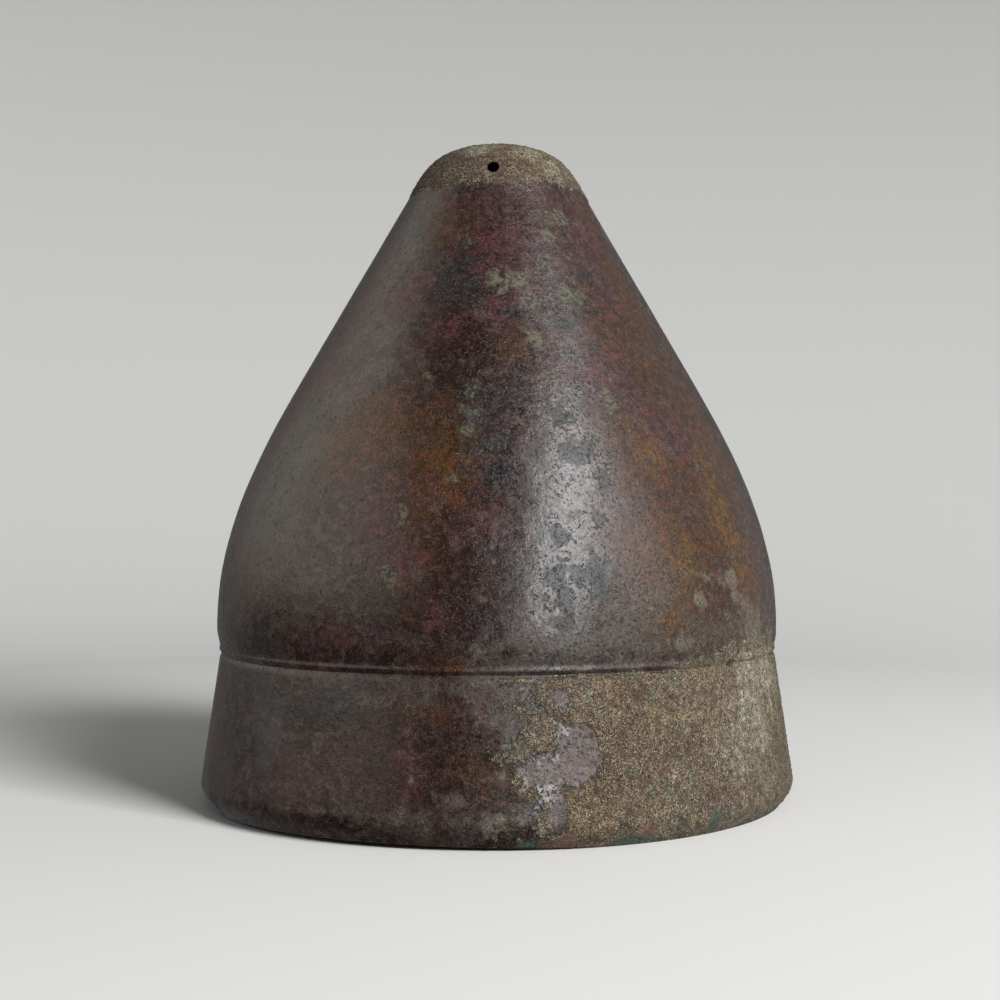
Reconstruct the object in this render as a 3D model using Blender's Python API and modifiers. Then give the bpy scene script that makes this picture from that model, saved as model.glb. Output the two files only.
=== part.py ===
"""Pilos helmet: a tall conical helmet, raised from one sheet of bronze.

Metres, +Z up. The open rim rests on z = 0, the brow faces -Y, and the Z axis runs up through the apex.
The wall is drawn as half of an outline, turned about Z, given its thickness inwards, and then drawn out
a little into the oval that a head needs. Widths below are measured across the short way of that oval.
"""

import math

import bmesh
import bpy
from mathutils import Matrix, Vector

# Whole helmet
RIM_WIDTH = 0.2274
RIM_LENGTH = 0.2364
OVAL_TURN = math.radians(26)
WALL = 0.0011

# Rim band, from the open edge up to the groove
BAND_HEIGHT = 0.0572
BAND_FLARE = 0.0070
SWELL_HEIGHT = 0.0085
EDGE_TURN_IN = 0.0040
FRONT_LIFT = 0.0015
LIFT_AZIMUTH = math.radians(-22)
LIFT_HALF_SPAN = math.radians(58)

# Groove between the band and the bowl, and the thin raised line above it
GROOVE_HALF_HEIGHT = 0.0014
GROOVE_DEPTH = 0.0008
LINE_RISE = 0.0003
LINE_HEIGHT = 0.0016

# Bowl, from the groove up to the top of the apex
BOWL_HEIGHT = 0.1968
SHOULDER_DROP = 0.0105
SHOULDER_OVERHANG = 0.0019
APEX_WIDTH = 0.0642
APEX_DROP = 0.0165

# Corrosion crust over the apex, and the hole drilled level through its front
CRUST_DROP = 0.0204
CRUST_RISE = 0.0004
HOLE_DIAMETER = 0.0045
HOLE_DROP = 0.0136
HOLE_OFFSET = -0.0018

# Where the straight flank ends and the round shoulder begins, as shares of the way from the apex curve's
# foot to the shoulder's widest line
FLANK_FOOT_OUT = 0.58
FLANK_FOOT_DOWN = 0.45

# How full each curve is: how far its handles reach, as shares of the size that it follows
APEX_FLATNESS = 0.34
APEX_ROUNDNESS = 0.60
BELLY_TOP_FULLNESS = 0.35
BELLY_FOOT_FULLNESS = 0.37
TURN_IN_FULLNESS = 0.40
EDGE_TURN_FULLNESS = 0.45

# Shallow dents: azimuth from the brow in degrees, height as a share of the bowl's, radius as a share of
# the rim's width, and depth as a share of the wall
DENTS = (
    {"azimuth": -60, "height": 0.24, "radius": 0.17, "depth": 0.7},
    {"azimuth": 41, "height": 0.36, "radius": 0.15, "depth": 0.5},
    {"azimuth": 8, "height": 0.62, "radius": 0.12, "depth": 0.4},
    {"azimuth": 148, "height": 0.30, "radius": 0.20, "depth": 0.8},
)

# Fineness: faces round the helmet and round its hole, and rows of faces on each stretch of the outline
TURN_STEPS = 60
HOLE_SIDES = 20
ROWS = {"apex": 7, "flank": 6, "belly": 9, "turn_in": 3, "band": 5, "edge_turn": 3}
MERGE = 0.00001


def line(start, end, steps):
    """Points on a straight line after its start."""
    return [start.lerp(end, i / steps) for i in range(1, steps + 1)]


def bezier(start, start_handle, end_handle, end, steps):
    """Points on a cubic curve after its start."""
    points = []
    for i in range(1, steps + 1):
        t = i / steps
        s = 1 - t
        points.append(
            start * s**3 + start_handle * (3 * s * s * t) + end_handle * (3 * s * t * t) + end * t**3
        )
    return points


def pushed_out(points, distance):
    """The points of an outline moved outwards, square to the outline; the ones on the axis stay on it."""
    moved = []
    for i, point in enumerate(points):
        along = points[min(i + 1, len(points) - 1)] - points[max(i - 1, 0)]
        out = Vector((-along.y, along.x)).normalized()
        across = 0 if i == 0 else out.x * distance
        moved.append(point + Vector((across, out.y * distance)))
    return moved


def apex_and_flank(top, shoulder):
    """The crusted apex and the straight flank, from the axis down to where the belly begins."""
    apex_foot = Vector((APEX_WIDTH / 2, top - APEX_DROP))
    reach = shoulder - apex_foot
    flank_foot = apex_foot + Vector((reach.x * FLANK_FOOT_OUT, reach.y * FLANK_FOOT_DOWN))
    flank_way = (flank_foot - apex_foot).normalized()

    tip = Vector((0, top))
    apex = [tip] + bezier(
        tip,
        tip + Vector((APEX_WIDTH * APEX_FLATNESS, 0)),
        apex_foot - flank_way * (APEX_DROP * APEX_ROUNDNESS),
        apex_foot,
        ROWS["apex"],
    )
    # The crust runs a little way down the flank and ends in a low step
    crust_edge = apex_foot + flank_way * ((CRUST_DROP - APEX_DROP) / abs(flank_way.y))
    step_foot = crust_edge + flank_way * CRUST_RISE
    # Its thickness is part of the helmet's height, so it is built out from a metal top that much lower
    crusted = [point - Vector((0, CRUST_RISE)) for point in pushed_out(apex + [crust_edge], CRUST_RISE)]
    return crusted + [step_foot] + line(step_foot, flank_foot, ROWS["flank"]), flank_way


def belly_and_groove(flank_foot, flank_way, shoulder, groove):
    """The round belly, its turn inwards under the shoulder, the thin raised line and the groove."""
    fall = flank_foot.y - shoulder.y
    belly = bezier(
        flank_foot,
        flank_foot + flank_way * (fall * BELLY_TOP_FULLNESS),
        shoulder + Vector((0, fall * BELLY_FOOT_FULLNESS)),
        shoulder,
        ROWS["belly"],
    )
    line_crest = groove + Vector((GROOVE_DEPTH + LINE_RISE, GROOVE_HALF_HEIGHT))
    line_root = line_crest + Vector((-LINE_RISE, LINE_HEIGHT))
    turn_in = bezier(
        shoulder,
        shoulder - Vector((0, SHOULDER_DROP * TURN_IN_FULLNESS)),
        line_root.lerp(shoulder, TURN_IN_FULLNESS),
        line_root,
        ROWS["turn_in"],
    )
    return belly + turn_in + [line_crest, groove]


def rim_band(band_top):
    """The flared band, and the open edge that turns a little way back in under it."""
    swell = Vector((RIM_WIDTH / 2, SWELL_HEIGHT))
    edge = Vector((swell.x - EDGE_TURN_IN, 0))
    edge_turn = bezier(
        swell,
        swell - Vector((0, SWELL_HEIGHT * EDGE_TURN_FULLNESS)),
        edge + Vector((EDGE_TURN_IN, SWELL_HEIGHT)) * (EDGE_TURN_FULLNESS / 2),
        edge,
        ROWS["edge_turn"],
    )
    return [band_top] + line(band_top, swell, ROWS["band"]) + edge_turn


def outline():
    """Half of the outer outline, from the top down: x is the distance from the axis, y the height."""
    band_top = Vector((RIM_WIDTH / 2 - BAND_FLARE, BAND_HEIGHT - GROOVE_HALF_HEIGHT))
    groove = Vector((band_top.x - GROOVE_DEPTH, BAND_HEIGHT))
    shoulder = groove + Vector((SHOULDER_OVERHANG, SHOULDER_DROP))
    upper, flank_way = apex_and_flank(BAND_HEIGHT + BOWL_HEIGHT, shoulder)
    return upper + belly_and_groove(upper[-1], flank_way, shoulder, groove) + rim_band(band_top)


def drawn_oval(point):
    """Stretches a point along the oval's long way, which runs from the brow towards -X."""
    long_way = Vector((-math.sin(OVAL_TURN), -math.cos(OVAL_TURN), 0))
    stretch = RIM_LENGTH / RIM_WIDTH - 1
    return point + long_way * (point.dot(long_way) * stretch)


def azimuth_of(point):
    """Angle round the helmet from the brow, positive towards +X."""
    return math.atan2(point.x, -point.y)


def front_lift(point):
    """How far the bent rim stands off the ground here, fading out up the band."""
    share = (azimuth_of(point) - LIFT_AZIMUTH) / LIFT_HALF_SPAN
    if abs(share) >= 1 or point.z >= BAND_HEIGHT:
        return 0
    return FRONT_LIFT * (1 + math.cos(math.pi * share)) / 2 * (1 - point.z / BAND_HEIGHT)


def dent_depth(point):
    """How far the wall is pushed in here by the shallow dents."""
    depth = 0
    for dent in DENTS:
        height = BAND_HEIGHT + BOWL_HEIGHT * dent["height"]
        turned = math.remainder(azimuth_of(point) - math.radians(dent["azimuth"]), math.tau)
        around = turned * math.hypot(point.x, point.y)
        distance = math.hypot(around, point.z - height)
        reach = RIM_WIDTH * dent["radius"]
        if distance < reach:
            depth += WALL * dent["depth"] * (1 + math.cos(math.pi * distance / reach)) / 2
    return depth


def material(name, color, metallic, roughness):
    made = bpy.data.materials.new(name)
    made.use_nodes = True
    shader = made.node_tree.nodes["Principled BSDF"]
    shader.inputs["Base Color"].default_value = (*color, 1)
    shader.inputs["Metallic"].default_value = metallic
    shader.inputs["Roughness"].default_value = roughness
    return made


def evaluated_mesh(thing):
    return bpy.data.meshes.new_from_object(thing.evaluated_get(bpy.context.evaluated_depsgraph_get()))


def turned_wall(collection):
    """The outline turned about Z and thickened inwards."""
    points = outline()
    mesh = bpy.data.meshes.new("outline")
    mesh.from_pydata(
        [(point.x, 0, point.y) for point in points],
        [(i, i + 1) for i in range(len(points) - 1)],
        [],
    )
    turned = bpy.data.objects.new("outline", mesh)
    collection.objects.link(turned)

    screw = turned.modifiers.new("turn", "SCREW")
    screw.axis = "Z"
    screw.steps = TURN_STEPS
    screw.render_steps = TURN_STEPS
    screw.use_merge_vertices = True
    screw.merge_threshold = MERGE

    wall = turned.modifiers.new("wall", "SOLIDIFY")
    wall.thickness = WALL
    wall.offset = -1
    wall.use_rim = True

    bpy.context.view_layer.update()
    solid = evaluated_mesh(turned)
    bpy.data.objects.remove(turned)
    bpy.data.meshes.remove(mesh)
    return solid


def shaped(mesh):
    """Levels the open edge, then gives the turned wall its oval, its dents and its bent front edge."""
    shape = bmesh.new()
    shape.from_mesh(mesh)
    for vertex in shape.verts:
        if vertex.co.z < WALL:
            vertex.co.z = 0
    for vertex in shape.verts:
        point = drawn_oval(vertex.co)
        inwards = Vector((-point.x, -point.y, 0))
        if inwards.length > 0:
            point += inwards.normalized() * dent_depth(point)
        point.z += front_lift(point)
        vertex.co = point
    bmesh.ops.recalc_face_normals(shape, faces=shape.faces)
    shape.to_mesh(mesh)
    shape.free()
    return mesh


def hole_cutter(collection):
    """A level drill through the front of the apex, which stops short of the back wall."""
    depth = APEX_WIDTH
    cut = bmesh.new()
    bmesh.ops.create_cone(
        cut,
        cap_ends=True,
        segments=HOLE_SIDES,
        radius1=HOLE_DIAMETER / 2,
        radius2=HOLE_DIAMETER / 2,
        depth=depth,
        matrix=Matrix.Rotation(math.pi / 2, 4, "X"),
    )
    mesh = bpy.data.meshes.new("apex_hole_drill")
    cut.to_mesh(mesh)
    cut.free()
    drill = bpy.data.objects.new("apex_hole_drill", mesh)
    drill.location = (HOLE_OFFSET, -depth / 2, BAND_HEIGHT + BOWL_HEIGHT - HOLE_DROP)
    drill.hide_render = True
    drill.display_type = "WIRE"
    collection.objects.link(drill)
    return drill


def helmet_shell(collection, drill):
    mesh = shaped(turned_wall(collection))
    mesh.name = "helmet_shell"
    mesh.materials.clear()
    mesh.materials.append(material("bronze_patina", (0.10, 0.065, 0.055), 0.85, 0.38))
    mesh.shade_smooth()
    mesh.set_sharp_from_angle(angle=math.radians(40))
    shell = bpy.data.objects.new("helmet_shell", mesh)
    collection.objects.link(shell)
    hole = shell.modifiers.new("apex_hole", "BOOLEAN")
    hole.operation = "DIFFERENCE"
    hole.solver = "EXACT"
    hole.object = drill
    return shell


def main():
    for thing in list(bpy.data.objects):
        bpy.data.objects.remove(thing)
    parts = bpy.data.collections.new("pilos_helmet")
    cutters = bpy.data.collections.new("cutters")
    bpy.context.scene.collection.children.link(parts)
    bpy.context.scene.collection.children.link(cutters)
    helmet_shell(parts, hole_cutter(cutters))


main()
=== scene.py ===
# %% [markdown]
# # A pilos helmet of aged bronze
# The real helmet is one sheet of bronze, raised with a hammer into a tall cone and then buried for a very
# long time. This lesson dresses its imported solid: a fine wall with its corrosion, loose grains on the
# crust, the finishes, and a plain studio. Lengths are in metres, and +Z is up.

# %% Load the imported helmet
import math
import random
from collections import namedtuple

import bmesh
import bpy
import numpy as np
from mathutils import Matrix, Vector


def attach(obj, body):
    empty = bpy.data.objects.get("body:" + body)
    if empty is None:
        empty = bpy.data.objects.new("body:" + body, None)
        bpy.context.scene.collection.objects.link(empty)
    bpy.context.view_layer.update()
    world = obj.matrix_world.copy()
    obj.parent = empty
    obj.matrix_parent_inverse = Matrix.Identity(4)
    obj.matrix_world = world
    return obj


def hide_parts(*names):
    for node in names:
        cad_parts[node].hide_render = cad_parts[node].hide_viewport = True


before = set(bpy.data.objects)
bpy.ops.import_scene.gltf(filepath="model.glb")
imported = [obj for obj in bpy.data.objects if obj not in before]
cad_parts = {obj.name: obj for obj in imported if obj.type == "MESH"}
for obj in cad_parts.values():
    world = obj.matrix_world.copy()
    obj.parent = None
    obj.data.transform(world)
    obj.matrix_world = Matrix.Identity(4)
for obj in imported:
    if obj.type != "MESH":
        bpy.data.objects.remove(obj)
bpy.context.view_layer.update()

MM = 0.001
CAD_NODE = "helmet_shell"

# %% [markdown]
# ## Helpers
# Colours are chosen as sRGB hex values, as a colour picker shows them, but Blender's sockets hold linear
# light, so one function turns the first into the second. A second function adds any node, whatever its
# kind, with its settings and its links, so that every material and tree below reads as a list of steps.

# %% Colour and node helpers


def linear(hex_colour):
    """An sRGB hex colour as linear red, green and blue, with an alpha of 1."""
    shares = [int(hex_colour[i : i + 2], 16) / 255 for i in (0, 2, 4)]
    return (*[s / 12.92 if s <= 0.04045 else ((s + 0.055) / 1.055) ** 2.4 for s in shares], 1)


def add(tree, kind, inputs=None, **settings):
    """One new node. Settings are its own properties. Inputs gives its shown sockets, by name or by place,
    a value, a socket or a node, of which the first shown output is taken. A hex string is a colour."""
    node = tree.nodes.new(kind)
    for name, value in settings.items():
        setattr(node, name, value)
    shown = [socket for socket in node.inputs if socket.enabled]
    for key, value in (inputs or {}).items():
        socket = shown[key] if isinstance(key, int) else next(s for s in shown if s.name == key)
        if isinstance(value, bpy.types.Node):
            value = next(output for output in value.outputs if output.enabled)
        if isinstance(value, bpy.types.NodeSocket):
            tree.links.new(value, socket)
        elif socket.type == "RGBA":
            socket.default_value = linear(value)
        else:
            socket.default_value = value
    return node


def per(size):
    """The scale that gives a texture features of this size in metres."""
    return 1 / size


print("mid grey, 808080, in linear light:", round(linear("808080")[0], 3))

# %% [markdown]
# ## The wall's outline
# The helmet is round work drawn out into an oval, so its shape is half of an outline and a rule. The
# outline repeats the sizes of the solid, because this script can't read the solid's own source. Tracing
# the faceted solid would copy its flat facets, and a polished surface shows each of them in its
# highlight. Curves with the same handles, cut ten times finer, give a wall that reflects smoothly.

# %% Sizes of the real helmet
RIM_WIDTH = 0.2274
RIM_LENGTH = 0.2364
OVAL_TURN = math.radians(26)
WALL = 0.0011
BAND_HEIGHT = 0.0572
BAND_FLARE = 0.0070
SWELL_HEIGHT = 0.0085
EDGE_TURN_IN = 0.0040
FRONT_LIFT = 0.0015
LIFT_AZIMUTH = math.radians(-22)
LIFT_HALF_SPAN = math.radians(58)
GROOVE_HALF_HEIGHT = 0.0014
GROOVE_DEPTH = 0.0008
LINE_RISE = 0.0003
LINE_HEIGHT = 0.0016
BOWL_HEIGHT = 0.1968
SHOULDER_DROP = 0.0105
SHOULDER_OVERHANG = 0.0019
APEX_WIDTH = 0.0642
APEX_DROP = 0.0165
CRUST_DROP = 0.0204
CRUST_RISE = 0.0004
HOLE_DIAMETER = 0.0045
HOLE_DROP = 0.0136
HOLE_OFFSET = -0.0018
TOP = BAND_HEIGHT + BOWL_HEIGHT
print("height to the apex, mm:", round(TOP / MM, 1))

# %% How full each curve of the outline is, as shares of what it spans
APEX_FLATNESS = 0.34
APEX_ROUNDNESS = 0.60
FLANK_FOOT_OUT = 0.58
FLANK_FOOT_DOWN = 0.45
BELLY_TOP_FULLNESS = 0.35
BELLY_FOOT_FULLNESS = 0.37
TURN_IN_FULLNESS = 0.40
EDGE_TURN_FULLNESS = 0.45

# %% Its shallow dents
# The azimuth is in degrees from the brow. The height and the radius are shares of the bowl's height and
# of the rim's width, and the depth is in wall thicknesses.
Dent = namedtuple("Dent", "azimuth height radius depth")
DENTS = (
    Dent(azimuth=-60, height=0.24, radius=0.17, depth=0.7),
    Dent(azimuth=41, height=0.36, radius=0.15, depth=0.5),
    Dent(azimuth=8, height=0.62, radius=0.12, depth=0.4),
    Dent(azimuth=148, height=0.30, radius=0.20, depth=0.8),
)
print("deepest dent, mm:", round(max(dent.depth for dent in DENTS) * WALL / MM, 2))

# %% The outline, as curves


def bezier(start, start_handle, end_handle, end, steps=80):
    """Points on a cubic curve after its start."""
    t = np.linspace(0, 1, steps + 1)[1:, None]
    corners = [np.array(corner) for corner in (start, start_handle, end_handle, end)]
    weights = [(1 - t) ** 3, 3 * (1 - t) ** 2 * t, 3 * (1 - t) * t**2, t**3]
    return sum(weight * corner for weight, corner in zip(weights, corners))


def straight(start, end, steps=80):
    """Points on a straight line after its start."""
    t = np.linspace(0, 1, steps + 1)[1:, None]
    return np.array(start) * (1 - t) + np.array(end) * t


# %% The outline's upper and lower runs


def apex_and_flank(apex_foot, shoulder):
    """From the tip down over the round apex and the straight flank to the shoulder."""
    reach = shoulder - apex_foot
    flank_foot = apex_foot + Vector((reach.x * FLANK_FOOT_OUT, reach.y * FLANK_FOOT_DOWN))
    flank_way = (flank_foot - apex_foot).normalized()
    fall = flank_foot.y - shoulder.y
    tip = Vector((0, TOP - CRUST_RISE))
    flat = tip + Vector((APEX_WIDTH * APEX_FLATNESS, 0))
    steep = apex_foot - flank_way * (APEX_DROP * APEX_ROUNDNESS)
    leave = flank_foot + flank_way * (fall * BELLY_TOP_FULLNESS)
    arrive = shoulder + Vector((0, fall * BELLY_FOOT_FULLNESS))
    return [
        np.array([tip]),
        bezier(tip, flat, steep, apex_foot),
        straight(apex_foot, flank_foot),
        bezier(flank_foot, leave, arrive, shoulder),
    ]


def groove_and_band(shoulder, groove, band_top):
    """From the shoulder in to the raised line and the groove, and down the band to the open edge."""
    line_crest = groove + Vector((GROOVE_DEPTH + LINE_RISE, GROOVE_HALF_HEIGHT))
    line_root = line_crest + Vector((-LINE_RISE, LINE_HEIGHT))
    under = shoulder - Vector((0, SHOULDER_DROP * TURN_IN_FULLNESS))
    swell = Vector((RIM_WIDTH / 2, SWELL_HEIGHT))
    edge = Vector((swell.x - EDGE_TURN_IN, 0))
    turn_top = swell - Vector((0, SWELL_HEIGHT * EDGE_TURN_FULLNESS))
    turn_foot = edge + Vector((EDGE_TURN_IN, SWELL_HEIGHT)) * (EDGE_TURN_FULLNESS / 2)
    return [
        bezier(shoulder, under, line_root.lerp(shoulder, TURN_IN_FULLNESS), line_root),
        straight(line_root, line_crest, 12),
        straight(line_crest, groove, 12),
        straight(groove, band_top, 12),
        straight(band_top, swell),
        bezier(swell, turn_top, turn_foot, edge),
    ]


def metal_outline():
    """The bare metal's outline from the top down, as rows of distance from the axis and height."""
    band_top = Vector((RIM_WIDTH / 2 - BAND_FLARE, BAND_HEIGHT - GROOVE_HALF_HEIGHT))
    groove = Vector((band_top.x - GROOVE_DEPTH, BAND_HEIGHT))
    shoulder = groove + Vector((SHOULDER_OVERHANG, SHOULDER_DROP))
    apex_foot = Vector((APEX_WIDTH / 2, TOP - APEX_DROP))
    runs = apex_and_flank(apex_foot, shoulder) + groove_and_band(shoulder, groove, band_top)
    return np.concatenate(runs)


print("outline before it is cut evenly:", len(metal_outline()), "points")

# %% The outline, cut into even rows
OUTER_ROW, FINER_AT_GROOVE, FINER_AT_EDGE = 1.64 * MM, 1.2 * MM, 0.95 * MM
GROOVE_REACH, EDGE_REACH = 4 * MM, 5 * MM
INNER_ROW = 3.4 * MM


def resampled(points, spacing):
    """The same outline with points this far apart. Spacing is a function of height."""
    lengths = np.linalg.norm(np.diff(points, axis=0), axis=1)
    middles = (points[1:, 1] + points[:-1, 1]) / 2
    cells = np.concatenate([[0], np.cumsum(lengths / spacing(middles))])
    wanted = np.linspace(0, cells[-1], round(cells[-1]) + 1)
    return np.stack([np.interp(wanted, cells, points[:, k]) for k in (0, 1)], axis=1)


def outer_spacing(height):
    """Finer rows at the groove and at the open edge, where the outline turns quickly."""
    near_groove = np.exp(-(((height - BAND_HEIGHT - LINE_HEIGHT / 2) / GROOVE_REACH) ** 2))
    near_edge = np.exp(-((height / EDGE_REACH) ** 2))
    return OUTER_ROW - FINER_AT_GROOVE * near_groove - FINER_AT_EDGE * near_edge


outer = resampled(metal_outline(), outer_spacing)
along = np.gradient(outer, axis=0)
normals = np.stack([-along[:, 1], along[:, 0]], axis=1) / np.linalg.norm(along, axis=1)[:, None]
inner = resampled((outer - normals * WALL)[::-1], lambda height: INNER_ROW + 0 * height)
inner[:, 0] = np.maximum(inner[:, 0], 0)
inner[0] = [outer[-1, 0] - WALL, 0]
inner[-1, 0] = 0
print("outline rows:", len(outer), "outside and", len(inner), "inside")

# %% [markdown]
# ## The wall
# A Screw modifier would give the tip as many columns as the rim, and most of its faces would be slivers.
# So the rings are joined here with a column count that halves towards the axis, which keeps the faces
# nearly square and spends them where the photograph shows the metal.

# %% Rings, and the faces between them
OUTSIDE_COLUMNS = 480
INSIDE_COLUMNS = 240
FEWEST_COLUMNS = 60
HALVE_BELOW = 0.48


def columns_at(radius, most):
    """How many columns go round the wall at this distance from the axis."""
    count, reach = most, RIM_WIDTH / 2
    while radius < reach * HALVE_BELOW and count > FEWEST_COLUMNS:
        count, reach = count // 2, reach / 2
    return count


def ring(radius, height, columns):
    turn = np.arange(columns) * (math.tau / columns)
    return np.stack([radius * np.cos(turn), radius * np.sin(turn), np.full(columns, height)], axis=1)


def strip(first, first_count, second, second_count):
    """Faces between two rings, of which one may have twice the columns of the other, or be one point."""
    faces = []
    if first_count > second_count:
        return strip(second, second_count, first, first_count)
    for k in range(max(first_count, second_count)):
        b0, b1 = second + k, second + (k + 1) % second_count
        if first_count == 1:
            faces.append((first, b0, b1))
        elif first_count == second_count:
            faces.append((first + k, b0, b1, first + (k + 1) % first_count))
        elif k % 2 == 0:
            faces.append((first + k // 2, b0, b1))
        else:
            a0, a1 = first + k // 2, first + (k // 2 + 1) % first_count
            faces.append((a0, b0, a1))
            faces.append((a1, b0, b1))
    return faces


def turned_wall():
    """Rings down the outside, round the open edge and up the inside, as points and faces."""
    rings = [(radius, height, columns_at(radius, OUTSIDE_COLUMNS)) for radius, height in outer]
    rings += [(radius, height, columns_at(radius, INSIDE_COLUMNS)) for radius, height in inner]
    rings[0] = (0, outer[0, 1], 1)
    rings[len(outer)] = (inner[0, 0], 0, OUTSIDE_COLUMNS)
    rings[-1] = (0, inner[-1, 1], 1)
    points, faces, last = [], [], None
    start = 0
    for radius, height, columns in rings:
        points.append(ring(radius, height, columns))
        if last:
            faces += strip(last[0], last[1], start, columns)
        last = (start, columns)
        start += columns
    return np.concatenate(points), faces


columns_above = [columns_at(share * RIM_WIDTH, OUTSIDE_COLUMNS) for share in (0.5, 0.2, 0.1, 0.05)]
print("columns from the rim up:", columns_above)

# %% Oval, dents and bent front edge


def azimuth_of(points):
    """Angle round the helmet from the brow, positive towards +X."""
    return np.arctan2(points[:, 0], -points[:, 1])


def wrapped(angle):
    """The same angle between minus and plus half a turn."""
    return (angle + math.pi) % math.tau - math.pi


def eased(share):
    """A smooth fall from 1 where the share is 0 to 0 where it is 1."""
    return (1 + np.cos(math.pi * np.clip(np.abs(share), 0, 1))) / 2


def shaped(points):
    """Gives turned points the helmet's oval, its shallow dents and its lifted front edge."""
    long_way = np.array([-math.sin(OVAL_TURN), -math.cos(OVAL_TURN), 0])
    points = points + np.outer(points @ long_way * (RIM_LENGTH / RIM_WIDTH - 1), long_way)
    azimuth = azimuth_of(points)
    radius = np.hypot(points[:, 0], points[:, 1])
    pushed = np.zeros(len(points))
    for dent in DENTS:
        around = wrapped(azimuth - math.radians(dent.azimuth)) * radius
        rise = points[:, 2] - (BAND_HEIGHT + BOWL_HEIGHT * dent.height)
        pushed += WALL * dent.depth * eased(np.hypot(around, rise) / (RIM_WIDTH * dent.radius))
    inwards = -points[:, :2] / np.maximum(radius, MM)[:, None]
    points[:, :2] += inwards * pushed[:, None]
    lift = eased((azimuth - LIFT_AZIMUTH) / LIFT_HALF_SPAN)
    points[:, 2] += FRONT_LIFT * lift * np.clip(1 - points[:, 2] / BAND_HEIGHT, 0, 1)
    return points


wall_points, wall_faces = turned_wall()
wall_mesh = bpy.data.meshes.new("helmet_wall")
wall_mesh.from_pydata(shaped(wall_points).tolist(), [], wall_faces)
wall = bpy.data.objects.new("helmet_wall", wall_mesh)
bpy.context.scene.collection.objects.link(wall)
closed = bmesh.new()
closed.from_mesh(wall_mesh)
bmesh.ops.recalc_face_normals(closed, faces=closed.faces)
closed.to_mesh(wall_mesh)
closed.free()
print("wall:", len(wall_mesh.vertices), "points,", len(wall_mesh.polygons), "faces")

# %% [markdown]
# ## The hole in the apex
# One small round hole is drilled level through the front of the apex, probably for a crest fitting. A
# Boolean with a thin cylinder is how the solid has it too. It comes before the corrosion, so that the
# crust can grow round its edge.

# %% Drill the hole


def evaluated(piece):
    """The piece as its modifiers show it, as a plain mesh."""
    bpy.context.view_layer.update()
    depsgraph = bpy.context.evaluated_depsgraph_get()
    return bpy.data.meshes.new_from_object(
        piece.evaluated_get(depsgraph), preserve_all_data_layers=True, depsgraph=depsgraph
    )


def drilled(piece):
    """The piece's mesh with the apex hole cut through it."""
    depth = APEX_WIDTH
    drill_mesh = bpy.data.meshes.new("apex_drill")
    cut = bmesh.new()
    bmesh.ops.create_cone(
        cut,
        cap_ends=True,
        segments=32,
        radius1=HOLE_DIAMETER / 2,
        radius2=HOLE_DIAMETER / 2,
        depth=depth,
        matrix=Matrix.Rotation(math.pi / 2, 4, "X"),
    )
    cut.to_mesh(drill_mesh)
    cut.free()
    drill = bpy.data.objects.new("apex_drill", drill_mesh)
    drill.location = (HOLE_OFFSET, -depth / 2, TOP - HOLE_DROP)
    bpy.context.scene.collection.objects.link(drill)
    hole = piece.modifiers.new("hole", "BOOLEAN")
    hole.operation = "DIFFERENCE"
    hole.solver = "EXACT"
    hole.object = drill
    result = evaluated(piece)
    piece.modifiers.remove(hole)
    bpy.data.objects.remove(drill)
    return result


wall.data = drilled(wall)
print("drilled wall:", len(wall.data.polygons), "faces")
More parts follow.
